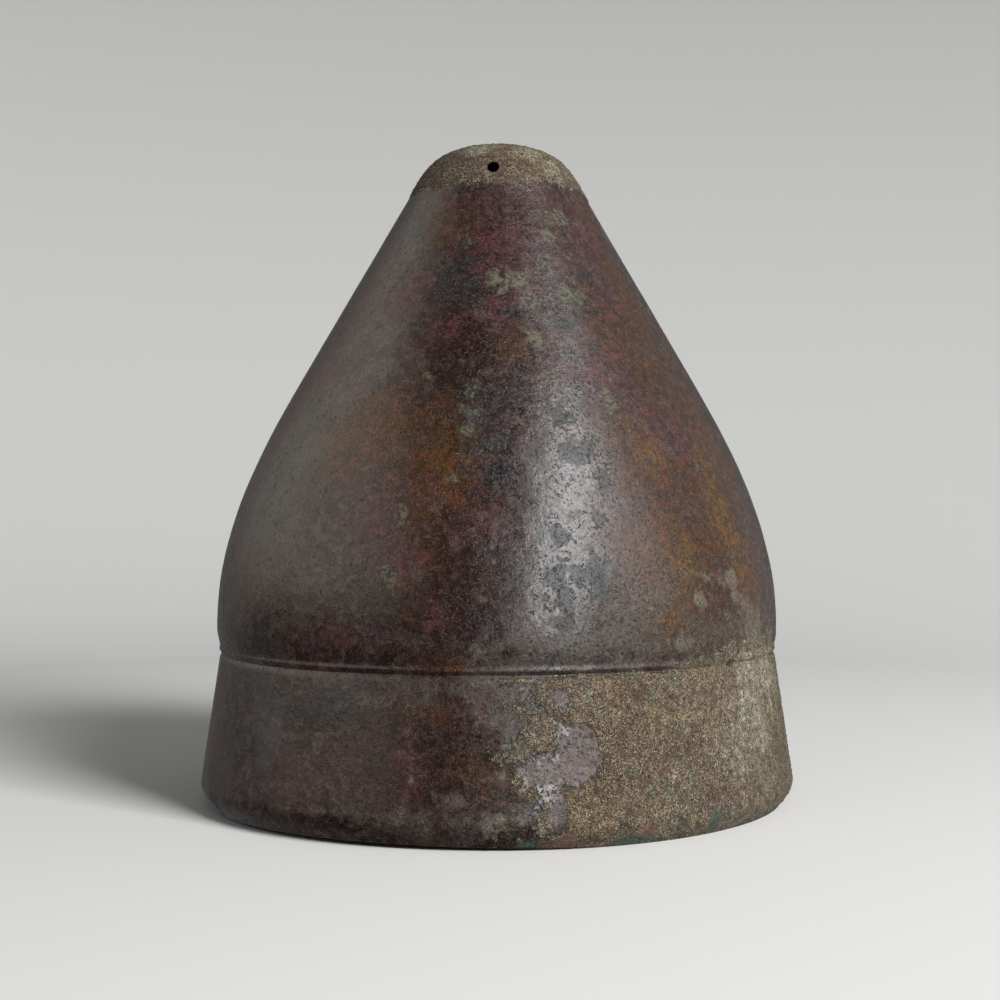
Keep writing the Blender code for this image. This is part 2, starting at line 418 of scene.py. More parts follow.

# %% [markdown]
# ## Where each stain lies
# Burial left patches of other minerals in the patina, and the photograph shows where they are. Below,
# each finish has its own patches: the azimuth from the brow in degrees, the height, the half width and
# half height in millimetres, and how strongly the patch shows. They become smooth weights on the wall's
# points. The material later breaks their edges up with noise, so that none is an ellipse.
# Painting them on an image would tie the helmet to a picture and to one resolution.
# One finish is no mineral: its cool grey patches are painted sheen, standing in for reflections.

# %% Stains in the patina
Stain = namedtuple("Stain", "finish azimuth height wide tall strength")
IN_THE_PATINA = {
    # Dark red copper oxide, high on the front, down the right and along the left edge
    "cuprite": (
        (-7, 203, 9, 8, 1.0), (1, 209, 15, 10, 0.85), (-1, 184, 8, 6, 1.2), (7, 187, 7, 5, 1.0),
        (33, 228, 7, 5, 1.0), (46, 214, 9, 8, 0.95), (28, 205, 10, 8, 0.75), (41, 189, 6, 9, 0.85),
        (27, 158, 10, 13, 0.72), (38, 151, 9, 12, 0.9), (47, 137, 8, 13, 0.8), (-2, 107, 12, 8, 0.6),
        (-11, 78, 6, 6, 0.75), (-13, 121, 6, 6, 0.7), (-3, 227, 20, 6, 0.7), (12, 74, 6, 4, 0.6),
        (57, 70, 7, 5, 0.8), (-38, 25, 9, 12, 0.62), (-66, 105, 6, 22, 0.9), (-64, 150, 8, 26, 1.0),
        (-58, 196, 6, 16, 0.9), (-52, 161, 9, 5, 1.0), (-30, 190, 10, 9, 0.7), (-14, 178, 9, 8, 0.75),
        (-24, 108, 9, 8, 0.7), (-16, 94, 8, 6, 0.75), (-30, 68, 14, 6, 0.7), (-70, 45, 8, 10, 0.9),
        (-64, 22, 6, 14, 0.9), (-16, 24, 9, 14, 0.6),
    ),
    # Orange brown, where iron from the soil has tinted the patina
    "chestnut": (
        (-10, 132, 9, 14, 1.1), (-11, 118, 9, 9, 0.9), (-28, 137, 20, 11, 1.15), (4, 170, 5, 6, 0.6),
        (53, 190, 8, 19, 1.2), (39, 172, 11, 11, 1.05), (47, 160, 9, 11, 0.9), (-14, 97, 7, 12, 0.5),
        (-55, 88, 9, 9, 0.85), (50, 111, 15, 22, 1.0), (48, 130, 34, 60, 0.75), (57, 83, 13, 12, 0.95),
        (36, 131, 16, 18, 1.0), (34, 98, 16, 22, 1.1), (37, 72, 15, 8, 0.7), (-7, 62, 15, 4, 0.5),
        (-12, 46, 9, 5, 0.55), (-2, 45, 6, 5, 0.5), (-2, 23, 8, 10, 0.6), (3, 25, 5, 11, 0.55),
        (-72, 26, 8, 15, 0.85), (-21, 216, 12, 7, 0.75), (58, 222, 6, 7, 0.8),
    ),
    # Golden brown rust
    "rust": (
        (53, 112, 7, 17, 1.2), (56, 90, 7, 11, 1.1), (-12, 126, 7, 9, 0.65), (33, 74, 10, 6, 0.8),
        (36, 136, 7, 12, 0.85), (37, 92, 10, 14, 0.8),
    ),
    # Dark blue grey, smooth and hard
    "slate": (
        (0, 128, 5, 9, 0.75), (5, 181, 5, 5, 0.9), (22, 178, 4, 3, 0.9), (4, 105, 3, 9, 0.7),
        (-30, 49, 13, 10, 0.7), (36, 66, 10, 6, 0.6),
    ),
    # Cool grey patches down the left and under the highlight: painted sheen, standing in for the
    # reflection there
    "bloom": (
        (-44, 217, 9, 12, 1.0), (-35, 168, 9, 13, 0.9), (-45, 137, 14, 17, 1.0),
        (-52, 108, 14, 15, 0.9), (-36, 88, 10, 9, 0.7), (-60, 75, 12, 7, 0.7), (-44, 34, 14, 12, 0.7),
        (22, 172, 7, 10, 0.7), (14, 108, 13, 30, 1.0), (12, 75, 12, 12, 0.9),
    ),
    # The darkest brown, down the middle of the front
    "umber": (
        (-8, 150, 14, 30, 0.9), (-9, 172, 15, 16, 1.1), (-8, 90, 22, 36, 1.0), (-12, 74, 24, 16, 0.9),
        (-12, 26, 26, 22, 1.0),
    ),
}
print(sum(map(len, IN_THE_PATINA.values())), "stains in the patina")

# %% Small patches on the skin
ON_THE_SKIN = {
    # Dull blotches inside the highlight
    "dull": (
        (19, 88, 3, 6, 1.2), (17, 98, 2.5, 8, 1.0), (11, 103, 4, 3, 1.1), (13, 111, 3, 4, 1.1),
        (19, 111, 2.5, 4, 0.9), (16, 131, 5, 6, 1.2), (14, 146, 3, 7, 1.0), (21, 121, 3, 4, 1.1),
        (9, 129, 4, 3, 0.9), (10, 90, 4, 4, 1.0), (12, 82, 4, 4, 0.95), (14, 91, 3, 3, 1.0),
        (11, 73, 5, 4, 0.9), (7, 45, 9, 8, 1.2),
    ),
    # Black pitted metal
    "pitted": (
        (-14, 194, 7, 10, 1.1), (-11, 203, 6, 6, 0.9), (-8, 187, 8, 5, 0.9), (-4, 143, 8, 12, 0.7),
        (17, 184, 7, 6, 0.7),
    ),
    # Grey lilac, the smoothest metal on the band
    "lilac": (
        (14, 31, 6, 8, 1.35), (8, 26, 7, 5, 0.9), (10, 13, 3, 6, 1.0), (11, 50, 3, 3, 1.1),
        (-4, 51, 5, 5, 0.75), (-8, 17, 6, 4, 0.8),
    ),
    # Sandy film, too thin to be a crust
    "film": (
        (6, 46, 12, 9, 1.0), (0, 54, 26, 4, 1.0), (17, 34, 9, 24, 1.1), (14, 10, 10, 9, 1.0),
        (-12, 8, 16, 5, 0.8), (52, 66, 26, 6, 1.0), (18, 66, 34, 6, 1.0), (30, 80, 16, 9, 0.8),
        (-60, 12, 12, 8, 0.7),
    ),
    # Olive green spots with a crusty edge
    "olive": (
        (2, 8, 5, 3, 0.9), (-6, 152, 4, 4.5, 1.0), (-6, 146, 4, 3, 0.8), (-7, 139, 2, 2, 1.2),
        (-18, 110, 2.2, 3.5, 1.1), (-2, 195, 3, 3.5, 1.0), (7, 195, 4, 4, 1.1), (1, 190, 3.5, 3.5, 1.0),
        (10, 187, 5, 4, 0.8), (26, 189, 5, 3.5, 1.05), (33, 221, 3.5, 4, 1.0), (22, 213, 3.5, 4, 1.0),
        (19, 201, 5, 6, 0.7), (28, 149, 4, 6, 0.95), (11, 172, 3, 3, 0.95), (-19, 90, 3, 3, 0.95),
        (-33, 85, 3, 3, 0.9), (1, 67, 2, 2, 1.1), (43, 89, 4, 3, 0.9), (52, 96, 3, 3, 0.9),
        (48, 74, 4, 3, 0.9), (3, 35, 4, 2.2, 1.0), (-33, 31, 8, 6, 0.62), (28, 48, 5, 6, 0.95),
        (-18, 158, 3, 3, 0.7), (-2, 166, 3, 2, 0.9), (-10, 164, 2, 2, 0.9),
    ),
    # Pale crumbs of lime that cling to the skin
    "crumb": (
        (50, 87, 10, 4, 1.3), (41, 80, 5, 3, 1.1), (57, 77, 8, 6, 1.3), (60, 69, 10, 5, 1.4),
        (36, 66, 7, 3, 1.1), (-2, 9, 5, 4, 1.2),
    ),
    # Bright green copper carbonate at the open edge
    "malachite": (
        (24, 1.5, 9, 3, 1.4), (41, 5.5, 3, 4, 1.5), (5, 3, 8, 3, 0.8),
    ),
    # Salmon pink bare metal at the open edge
    "salmon": (
        (11, 2, 6, 3, 1.35), (26, 5, 2, 3, 1.1), (40, 3, 2, 2, 1.0),
    ),
}
print(sum(map(len, ON_THE_SKIN.values())), "patches on the skin")

# %% Crust and the earths in it
IN_THE_CRUST = {
    # Sandy crust, besides what covers the apex and the right of the band
    "crust": (
        (4, 55.5, 16, 1.2, 0.7), (24, 54, 18, 3, 1.1), (62, 60, 26, 6, 1.2), (44, 58, 14, 3, 1.0),
    ),
    # Brown earth in the crust
    "earth": (
        (20, 25, 12, 14, 0.9), (33, 30, 10, 6, 0.9), (44, 14, 16, 8, 0.9), (70, 22, 10, 16, 0.9),
        (26, 50, 12, 4, 0.8), (-40, 243, 18, 9, 1.3), (-6, 243, 14, 7, 1.1), (30, 238, 10, 4, 1.0),
        (10, 252, 9, 2, 0.9),
    ),
    # Yellow ochre earth in the crust
    "ochre": (
        (30, 245, 11, 6, 1.3), (20, 250, 8, 3, 0.9), (17, 10, 11, 10, 0.95), (-23, 8, 4, 4, 0.9),
        (22, 50, 10, 5, 0.7), (33, 42, 18, 4, 0.75),
    ),
    # Pale lime in the crust
    "lime": (
        (-18, 249, 6, 2.5, 1.3), (30, 247, 5, 3, 1.1), (40, 240, 4, 4, 1.1), (57, 44, 10, 17, 1.1),
        (66, 50, 12, 12, 0.9), (-3, 7, 5, 5, 0.85), (50, 27, 9, 12, 0.7),
    ),
}
PLACED = {**IN_THE_PATINA, **ON_THE_SKIN, **IN_THE_CRUST}
STAINS = [Stain(finish, *row) for finish, rows in PLACED.items() for row in rows]
FINISHES = sorted({stain.finish for stain in STAINS})
print(len(STAINS), "stains of", len(FINISHES), "finishes")

# %% [markdown]
# The photograph shows one side. The other sides are guessed in the same manner: a seeded draw scatters
# more patches of the same finishes over the back half, at about the front's spacing.

# %% More stains for the sides that the photograph doesn't show
HIDDEN_SIDE, HIDDEN_HEIGHT = (80, 282), (62, 228)
HIDDEN_SPOT, HIDDEN_PATCH = (2.5, 5.5), (6, 16)
HIDDEN_STRETCH, HIDDEN_STRENGTH = (0.7, 1.5), (0.7, 1.05)
HIDDEN_STAINS = {
    "cuprite": 16,
    "chestnut": 20,
    "rust": 9,
    "slate": 12,
    "dull": 12,
    "pitted": 7,
    "olive": 22,
    # The cool grey patches are painted sheen, standing in for reflections
    "bloom": 16,
}
draw = random.Random(31)
hidden = []
for finish, count in HIDDEN_STAINS.items():
    for _ in range(count):
        wide = draw.uniform(*HIDDEN_SPOT) if finish == "olive" else draw.uniform(*HIDDEN_PATCH)
        tall = wide * draw.uniform(*HIDDEN_STRETCH)
        height = draw.uniform(*HIDDEN_HEIGHT)
        around = draw.uniform(*HIDDEN_SIDE)
        hidden.append(Stain(finish, around, height, wide, tall, draw.uniform(*HIDDEN_STRENGTH)))
hidden += [
    Stain("malachite", 168, 3, 9, 4, 1.1),
    Stain("malachite", 251, 4, 6, 4, 1.0),
    Stain("ochre", 120, 16, 18, 9, 1.0),
    Stain("ochre", 205, 12, 12, 8, 0.9),
    Stain("earth", 132, 36, 16, 12, 0.9),
    Stain("earth", 178, 22, 20, 14, 0.9),
    Stain("earth", 215, 245, 14, 10, 1.0),
    Stain("lime", 96, 36, 14, 14, 1.0),
    Stain("lime", 150, 40, 12, 9, 0.9),
]
print(len(hidden), "more stains on the hidden sides")

# %% Turn the stains into weights on the wall's points


def points_of(mesh):
    flat = np.zeros(len(mesh.vertices) * 3, np.float32)
    mesh.vertices.foreach_get("co", flat)
    return flat.reshape(-1, 3).astype(float)


def normals_of(mesh):
    flat = np.zeros(len(mesh.vertices) * 3, np.float32)
    mesh.vertex_normals.foreach_get("vector", flat)
    return flat.reshape(-1, 3).astype(float)


def rise_over(value, low, high):
    """0 below low, 1 above high, and a smooth rise between them."""
    share = np.clip((value - low) / (high - low), 0, 1)
    return share * share * (3 - 2 * share)


def stain_weight(stain, azimuth, height, radius):
    """1 at the stain's middle, half at its edge and 0 at twice its size, times its strength."""
    around = wrapped(azimuth - math.radians(stain.azimuth)) * radius / (stain.wide * MM)
    rise = (height - stain.height * MM) / (stain.tall * MM)
    return stain.strength * np.clip(1 - np.hypot(around, rise) / 2, 0, 1)


# Azimuths between which the band's crust thickens at the front and thins out at the back
CRUST_BEGINS, CRUST_ENDS = (-8, 20), (185, 240)
APEX_CRUST_FADE, BAND_CRUST_FADE = 6 * MM, 4 * MM


def crust_weight(azimuth, height):
    """The crust over the whole apex, and over the band from the front right round to the back."""
    crust_foot = TOP - CRUST_DROP
    apex = np.clip(0.5 + (height - crust_foot) / APEX_CRUST_FADE, 0, 1)
    from_left = (np.degrees(azimuth) + 90) % 360 - 90
    side = rise_over(from_left, *CRUST_BEGINS) * (1 - rise_over(from_left, *CRUST_ENDS))
    band = side * np.clip(0.5 + (BAND_HEIGHT - height) / BAND_CRUST_FADE, 0, 1)
    return np.maximum(apex, band)


def store(mesh, name, values):
    attribute = mesh.attributes.get(name) or mesh.attributes.new(name, "FLOAT", "POINT")
    attribute.data.foreach_set("value", values.astype(np.float32))


# Where the skin is grittiest, and how far round from there it turns smooth
GRITTY_AZIMUTH, GRITTY_REACH = math.radians(22), math.radians(60)
# Lilac metal is bare of crust from this weight on, and wholly so half a weight further
BARE_FROM, BARE_WHOLLY = 0.30, 0.50
# The corrosion dies out towards the open edge and the hole, which keep the solid's own outline
EDGE_KEPT = 3 * MM
# The normal tells the outside from the inside: upwards at the tip, and away from the axis below it
TIP_REACH = 3 * MM


def weigh_stains(mesh):
    """Stores each finish's weight, and how far a point may be moved by corrosion, as attributes."""
    points = points_of(mesh)
    out = normals_of(mesh)
    azimuth = azimuth_of(points)
    radius = np.hypot(points[:, 0], points[:, 1])
    height = points[:, 2]
    weights = {finish: np.zeros(len(points)) for finish in FINISHES}
    for stain in (*STAINS, *hidden):
        weight = stain_weight(stain, azimuth, height, radius)
        weights[stain.finish] = np.maximum(weights[stain.finish], weight)
    weights["crust"] = np.maximum(weights["crust"], crust_weight(azimuth, height))
    bare = np.clip(weights["lilac"] - BARE_FROM, 0, 1) / BARE_WHOLLY
    weights["crust"] = np.clip(weights["crust"] - bare, 0, 1)
    outward = (points[:, :2] * out[:, :2]).sum(1) / np.maximum(radius, MM)
    outside = np.where(height > TOP - TIP_REACH, out[:, 2] > 0, outward > 0)
    for finish, weight in weights.items():
        store(mesh, finish, weight * outside)
    hole = np.array([HOLE_OFFSET, 0, TOP - HOLE_DROP])
    from_hole = np.where(points[:, 1] < 0, np.hypot(points[:, 0] - hole[0], height - hole[2]), 1)
    free = rise_over(height, 0, EDGE_KEPT) * rise_over(from_hole, HOLE_DIAMETER / 2, HOLE_DIAMETER)
    store(mesh, "outside", outside.astype(float))
    store(mesh, "gritty", 1 - np.clip(wrapped(azimuth - GRITTY_AZIMUTH) / GRITTY_REACH, -1, 1) ** 2)
    store(mesh, "free", free)


weigh_stains(wall.data)
print("weights on the wall:", len(wall.data.attributes), "attributes")

# %% [markdown]
# ## Corrosion in relief
# A hammered and buried wall is never quite smooth: broad hammer marks, shallow pits and a crust that
# stands proud with a ragged edge. They all follow the surface, so a Geometry Nodes tree makes them, with
# its sizes as named inputs. A Displace modifier could move the points too, but it couldn't hold the crust
# back to its own patches, nor tell the material afterwards exactly where the crust ended up.

# %% Helpers for Geometry Nodes


def geometry_tree(name, inputs):
    """A tree with geometry in and out and one named input for each size or material."""
    tree = bpy.data.node_groups.new(name, "GeometryNodeTree")
    tree.interface.new_socket("Geometry", in_out="INPUT", socket_type="NodeSocketGeometry")
    tree.interface.new_socket("Geometry", in_out="OUTPUT", socket_type="NodeSocketGeometry")
    kinds = {int: "NodeSocketInt", float: "NodeSocketFloat", bpy.types.Material: "NodeSocketMaterial"}
    for label, value in inputs.items():
        tree.interface.new_socket(label, in_out="INPUT", socket_type=kinds[type(value)])
    return tree


def grown(piece, tree, inputs):
    """Runs the tree on the piece, with each input set by its identifier, and gives a plain mesh."""
    modifier = piece.modifiers.new(tree.name, "NODES")
    modifier.node_group = tree
    for item in tree.interface.items_tree:
        if item.in_out == "INPUT" and item.name in inputs:
            modifier[item.identifier] = inputs[item.name]
    mesh = evaluated(piece)
    piece.modifiers.remove(modifier)
    return mesh


# %% The relief's sizes
RELIEF = {
    "Hammer depth": 0.35 * MM,
    "Hammer spacing": 26 * MM,
    "Ripple depth": 0.10 * MM,
    "Ripple spacing": 7 * MM,
    "Pit depth": 0.30 * MM,
    "Pit spacing": 6 * MM,
    "Crust rise": CRUST_RISE,
    "Crust lump depth": 0.45 * MM,
    "Crust lump size": 5 * MM,
    "Grain depth": 0.45 * MM,
    "Grain size": 2.2 * MM,
    "Edge raggedness": 1.9,
    "Edge spacing": 11 * MM,
}
# Each pattern is read at its own place in the noise, so that no two of them line up
PATTERN_SHIFT = {"Hammer": 0.3, "Ripple": 1.1, "Crust lump": 2.2, "Grain": 3.1, "Pit": 5.7}
CRUST_EDGE = (0.44, 0.56)
PIT_EDGE = (0.63, 0.75)
PITS_EVERYWHERE = 0.6
PITS_IN_PITTED = 2.0
print(len(RELIEF), "sizes and shares for the relief")

# %% The relief tree


def unevenness(tree, given, name, size, depth, detail):
    """How far one pattern of the relief lifts or sinks each point."""
    place = add(tree, "GeometryNodeInputPosition")
    moved = add(tree, "ShaderNodeVectorMath", {0: place, 1: (PATTERN_SHIFT[name], 0, 0)})
    scale = add(tree, "ShaderNodeMath", {0: 1.0, 1: given[size]}, operation="DIVIDE")
    noise = add(tree, "ShaderNodeTexNoise", {"Vector": moved, "Scale": scale, "Detail": detail})
    even = add(tree, "ShaderNodeMath", {0: noise, 1: 0.5}, operation="SUBTRACT")
    return add(tree, "ShaderNodeMath", {0: even, 1: given[depth]}, operation="MULTIPLY")


def crust_cover(tree, given):
    """1 where the crust lies, with a ragged edge."""
    weight = add(tree, "GeometryNodeInputNamedAttribute", {"Name": "crust"}, data_type="FLOAT")
    frayed = unevenness(tree, given, "Grain", "Edge spacing", "Edge raggedness", 5.0)
    edge = add(tree, "ShaderNodeMath", {0: weight, 1: frayed})
    limits = {"Value": edge, "From Min": CRUST_EDGE[0], "From Max": CRUST_EDGE[1]}
    return add(tree, "ShaderNodeMapRange", limits, interpolation_type="SMOOTHSTEP")


def pit_relief(tree, given):
    """Shallow pits here and there, and deep ones where the metal is pitted."""
    place = add(tree, "GeometryNodeInputPosition")
    moved = add(tree, "ShaderNodeVectorMath", {0: place, 1: (PATTERN_SHIFT["Pit"], 0, 0)})
    scale = add(tree, "ShaderNodeMath", {0: 1.0, 1: given["Pit spacing"]}, operation="DIVIDE")
    noise = add(tree, "ShaderNodeTexNoise", {"Vector": moved, "Scale": scale, "Detail": 2.0})
    limits = {"Value": noise, "From Min": PIT_EDGE[0], "From Max": PIT_EDGE[1]}
    pits = add(tree, "ShaderNodeMapRange", limits, interpolation_type="SMOOTHSTEP")
    weight = add(tree, "GeometryNodeInputNamedAttribute", {"Name": "pitted"}, data_type="FLOAT")
    more = {0: weight, 1: PITS_IN_PITTED, 2: PITS_EVERYWHERE}
    amount = add(tree, "ShaderNodeMath", more, operation="MULTIPLY_ADD")
    deep = add(tree, "ShaderNodeMath", {0: pits, 1: amount}, operation="MULTIPLY")
    down = add(tree, "ShaderNodeMath", {0: given["Pit depth"], 1: -1.0}, operation="MULTIPLY")
    return add(tree, "ShaderNodeMath", {0: deep, 1: down}, operation="MULTIPLY")


def relief_tree():
    """Moves each point along its normal by hammer marks, pits and crust, and stores the crust's cover."""
    tree = geometry_tree("surface_relief", RELIEF)
    given = add(tree, "NodeGroupInput").outputs
    hammer = unevenness(tree, given, "Hammer", "Hammer spacing", "Hammer depth", 1.0)
    ripple = unevenness(tree, given, "Ripple", "Ripple spacing", "Ripple depth", 3.0)
    lumps = unevenness(tree, given, "Crust lump", "Crust lump size", "Crust lump depth", 3.0)
    grains = unevenness(tree, given, "Grain", "Grain size", "Grain depth", 2.0)

    cover = crust_cover(tree, given)
    rough = add(tree, "ShaderNodeMath", {0: lumps, 1: grains})
    proud = add(tree, "ShaderNodeMath", {0: rough, 1: given["Crust rise"]})
    crust = add(tree, "ShaderNodeMath", {0: cover, 1: proud}, operation="MULTIPLY")
    skin = add(tree, "ShaderNodeMath", {0: ripple, 1: pit_relief(tree, given)})
    corroded = add(tree, "ShaderNodeMath", {0: skin, 1: crust})

    outside = add(tree, "GeometryNodeInputNamedAttribute", {"Name": "outside"}, data_type="FLOAT")
    free = add(tree, "GeometryNodeInputNamedAttribute", {"Name": "free"}, data_type="FLOAT")
    relief = {0: corroded, 1: outside, 2: hammer}
    height = add(tree, "ShaderNodeMath", relief, operation="MULTIPLY_ADD")
    held = add(tree, "ShaderNodeMath", {0: height, 1: free}, operation="MULTIPLY")
    normal = add(tree, "GeometryNodeInputNormal")
    offset = add(tree, "ShaderNodeVectorMath", {0: normal, "Scale": held}, operation="SCALE")
    moved = add(tree, "GeometryNodeSetPosition", {"Geometry": given["Geometry"], "Offset": offset})
    shown = add(tree, "ShaderNodeMath", {0: cover, 1: outside}, operation="MULTIPLY")
    stored = {"Geometry": moved, "Name": "crust_cover", "Value": shown}
    kept = add(tree, "GeometryNodeStoreNamedAttribute", stored, data_type="FLOAT", domain="POINT")
    add(tree, "NodeGroupOutput", {"Geometry": kept})
    return tree


wall.data = grown(wall, relief_tree(), RELIEF)
wall.data.name = "helmet_wall"
print("relief on", len(wall.data.vertices), "points")

# %% [markdown]
# ## The polished patina
# On the outside the bronze has turned to a hard, dark skin of copper oxides, which reflects like a glaze
# and not like bare metal. So the shader isn't metallic: it has the raised IOR of such a mineral skin, and
# its colours are laid over each other from the deepest to the uppermost, each with its own roughness.
# Burial works at many sizes at once, so all of them share five noises, from the width of a hand down to
# a grain of sand, and each stain's edge is frayed by the same noises that mottle its middle.

# %% Patterns that the finishes share
Grain = namedtuple("Grain", "broad blotch mottle fleck grit")
GRAIN_SIZES = Grain(broad=36 * MM, blotch=10 * MM, mottle=3.4 * MM, fleck=1.3 * MM, grit=0.55 * MM)
GRAIN_DETAIL = Grain(broad=4.0, blotch=3.5, mottle=2.0, fleck=2.0, grit=1.0)
GRAIN_ROUGHNESS = 0.62
# A pattern lies round one half. It marks the skin from the first value on, and fully past the second.
HALF, THIRD, SIXTH, RARE = (0.44, 0.56), (0.50, 0.60), (0.56, 0.66), (0.64, 0.72)
WIDEST = (0.30, 0.70)


def new_finish(name):
    """An empty material, its tree and the object coordinates that its patterns are drawn on."""
    made = bpy.data.materials.new(name)
    made.use_nodes = True
    made.node_tree.nodes.clear()
    place = add(made.node_tree, "ShaderNodeTexCoord").outputs["Object"]
    return made, made.node_tree, place


def burial_grain(tree, place):
    """The five sizes of unevenness that burial leaves, each as three patterns that don't line up."""
    sizes = []
    for size, detail in zip(GRAIN_SIZES, GRAIN_DETAIL):
        look = {"Vector": place, "Scale": per(size), "Detail": detail, "Roughness": GRAIN_ROUGHNESS}
        noise = add(tree, "ShaderNodeTexNoise", look)
        sizes.append(add(tree, "ShaderNodeSeparateColor", {0: noise.outputs["Color"]}).outputs)
    return Grain(*sizes)


def mottled(tree, pattern, span, first, second, share=1.0):
    """The first colour, turning to the second where the pattern rises through the span."""
    limits = {"Value": pattern, "From Min": span[0], "From Max": span[1], "To Max": share}
    patches = add(tree, "ShaderNodeMapRange", limits, interpolation_type="SMOOTHSTEP")
    return add(tree, "ShaderNodeMix", {"Factor": patches, "A": first, "B": second}, data_type="RGBA")


def toned(tree, colour, pattern, dark, light):
    """The colour made darker and lighter by the pattern, with its hue kept."""
    span = {"From Min": WIDEST[0], "From Max": WIDEST[1], "To Min": dark, "To Max": light}
    tone = add(tree, "ShaderNodeMapRange", {"Value": pattern, **span})
    look = {"Factor": 1.0, "A": colour, "B": tone}
    return add(tree, "ShaderNodeMix", look, data_type="RGBA", blend_type="MULTIPLY")


Coat = namedtuple("Coat", "colour roughness")


def laid_over(tree, under, cover, colour, roughness):
    """One coat over another, where the cover is 1."""
    tint = add(tree, "ShaderNodeMix", {"Factor": cover, "A": under.colour, "B": colour}, data_type="RGBA")
    gloss = add(tree, "ShaderNodeMix", {"Factor": cover, "A": under.roughness, "B": roughness})
    return Coat(tint, gloss)


# %% The stains' own colours and edges
# Each stain has two tones and the size of grain that mottles them, its roughness, the two patterns that
# fray its edge, how frayed and how soft the edge is, how readily it also turns up away from its patches,
# and how much of the skin below it hides.
Tint = namedtuple("Tint", "first second mottled_by roughness frayed_by fray soft scattered share")
TINTS = {
    "umber": Tint("27120E", "1B0D0B", "mottle", 0.28, (2, 1), 1.2, 0.45, 0.0, 0.75),
    "chestnut": Tint("4E2D12", "36210F", "mottle", 0.32, (0, 1), 1.5, 0.45, 0.06, 0.85),
    "rust": Tint("5C3D12", "402B0E", "mottle", 0.36, (2, 0), 1.6, 0.35, 0.0, 0.80),
    "cuprite": Tint("4C2A2D", "331A1C", "mottle", 0.34, (1, 2), 1.7, 0.22, 0.06, 0.80),
    "slate": Tint("1F2326", "131518", "mottle", 0.24, (2, 0), 1.6, 0.18, 0.0, 0.85),
    "dull": Tint("1C1E1E", "131515", "fleck", 0.46, (2, 2), 2.4, 0.12, -0.12, 0.85),
    "pitted": Tint("1C1212", "100B0B", "fleck", 0.44, (0, 2), 1.9, 0.22, 0.0, 0.80),
    # Painted sheen: a cool grey standing in for reflections
    "bloom": Tint("4C4A49", "3B3939", "blotch", 0.36, (2, 0), 1.7, 0.34, 0.03, 0.75),
    "film": Tint("4B4036", "3A322B", "fleck", 0.62, (1, 2), 2.4, 0.42, 0.0, 0.80),
    "lilac": Tint("4F403B", "3D302B", "mottle", 0.50, (1, 0), 1.7, 0.16, 0.0, 0.85),
    "earth": Tint("4A3323", "38281D", "mottle", 0.90, (0, 2), 2.4, 0.40, 0.0, 0.70),
    "ochre": Tint("66512F", "4F3F27", "mottle", 0.90, (2, 1), 2.4, 0.40, 0.0, 0.55),
    "lime": Tint("8C8673", "6B6757", "fleck", 0.90, (0, 0), 2.0, 0.40, 0.0, 0.65),
    "olive": Tint("62654B", "24251D", "fleck", 0.80, (1, 1), 2.2, 0.20, -0.15, 0.55),
    "crumb": Tint("77705F", "3C352C", "grit", 0.90, (2, 2), 3.0, 0.30, -0.25, 0.65),
    "salmon": Tint("6E4B41", "5A3B35", "fleck", 0.60, (2, 2), 1.8, 0.16, -0.20, 0.80),
    "malachite": Tint("3F5A48", "2B4033", "fleck", 0.85, (0, 1), 2.0, 0.20, -0.25, 0.75),
}
# The first of the skin's stains is painted sheen
STAINS_IN_SKIN = ("bloom", "umber", "chestnut", "rust", "cuprite", "slate", "dull", "pitted")
STAINS_IN_SKIN += ("film", "lilac")
STAINS_IN_CRUST = ("earth", "ochre", "lime")
STAINS_ON_TOP = ("olive", "crumb", "salmon", "malachite")


def stain_cover(tree, grain, finish):
    """Where a stain lies: its weight on the wall, with its edge frayed by blotches and mottles."""
    tint = TINTS[finish]
    blotch, mottle = tint.frayed_by
    weight = add(tree, "ShaderNodeAttribute", attribute_name=finish).outputs["Fac"]
    broken = {0: grain.blotch[blotch], 1: tint.fray, 2: weight}
    broken = add(tree, "ShaderNodeMath", broken, operation="MULTIPLY_ADD")
    frayed = {0: grain.mottle[mottle], 1: tint.fray / 2, 2: broken}
    frayed = add(tree, "ShaderNodeMath", frayed, operation="MULTIPLY_ADD")
    # Half of the weight plus both patterns at their own mean
    middle = 0.5 + 0.5 * 1.5 * tint.fray - tint.scattered
    span = {"From Min": middle - tint.soft, "From Max": middle + tint.soft, "To Max": tint.share}
    return add(tree, "ShaderNodeMapRange", {"Value": frayed, **span}, interpolation_type="SMOOTHSTEP")


def with_stains(tree, grain, coat, finishes):
    """The coat with each of these stains over it, mottled in its own two tones."""
    for finish in finishes:
        tint = TINTS[finish]
        grains = getattr(grain, tint.mottled_by)
        tones = mottled(tree, grains[0], HALF, tint.first, tint.second)
        coat = laid_over(tree, coat, stain_cover(tree, grain, finish), tones, tint.roughness)
    return coat


# %% The skin's colours, pores and pits
# Brown, grey brown, nearly black and worn copper oxides, which the polish has cut through
PATINA = ("37231E", "2B2323", "170F0E", "4C3E3B")
GLOSS, DULL, GLOSS_SPAN = 0.16, 0.35, (0.35, 0.65)
# How much the blotches, the grit's own grain and the gritty front each add to the pores
PORES_BY_BLOTCH, PORES_BY_GRAIN, PORES_BY_GRIT = 0.4, 0.6, 0.13
PORE_SPAN = (1.20, 1.32)
PORE_BLACK = "0E0B0A"
PORE_DULL, PIT_DULL = 0.6, 0.7
PALE_GRAIN = "847C70"
PIT_SPACING = 1.9 * MM
PIT_RIM, PIT_CORE = (0.50, 0.36), (0.12, 0.20)


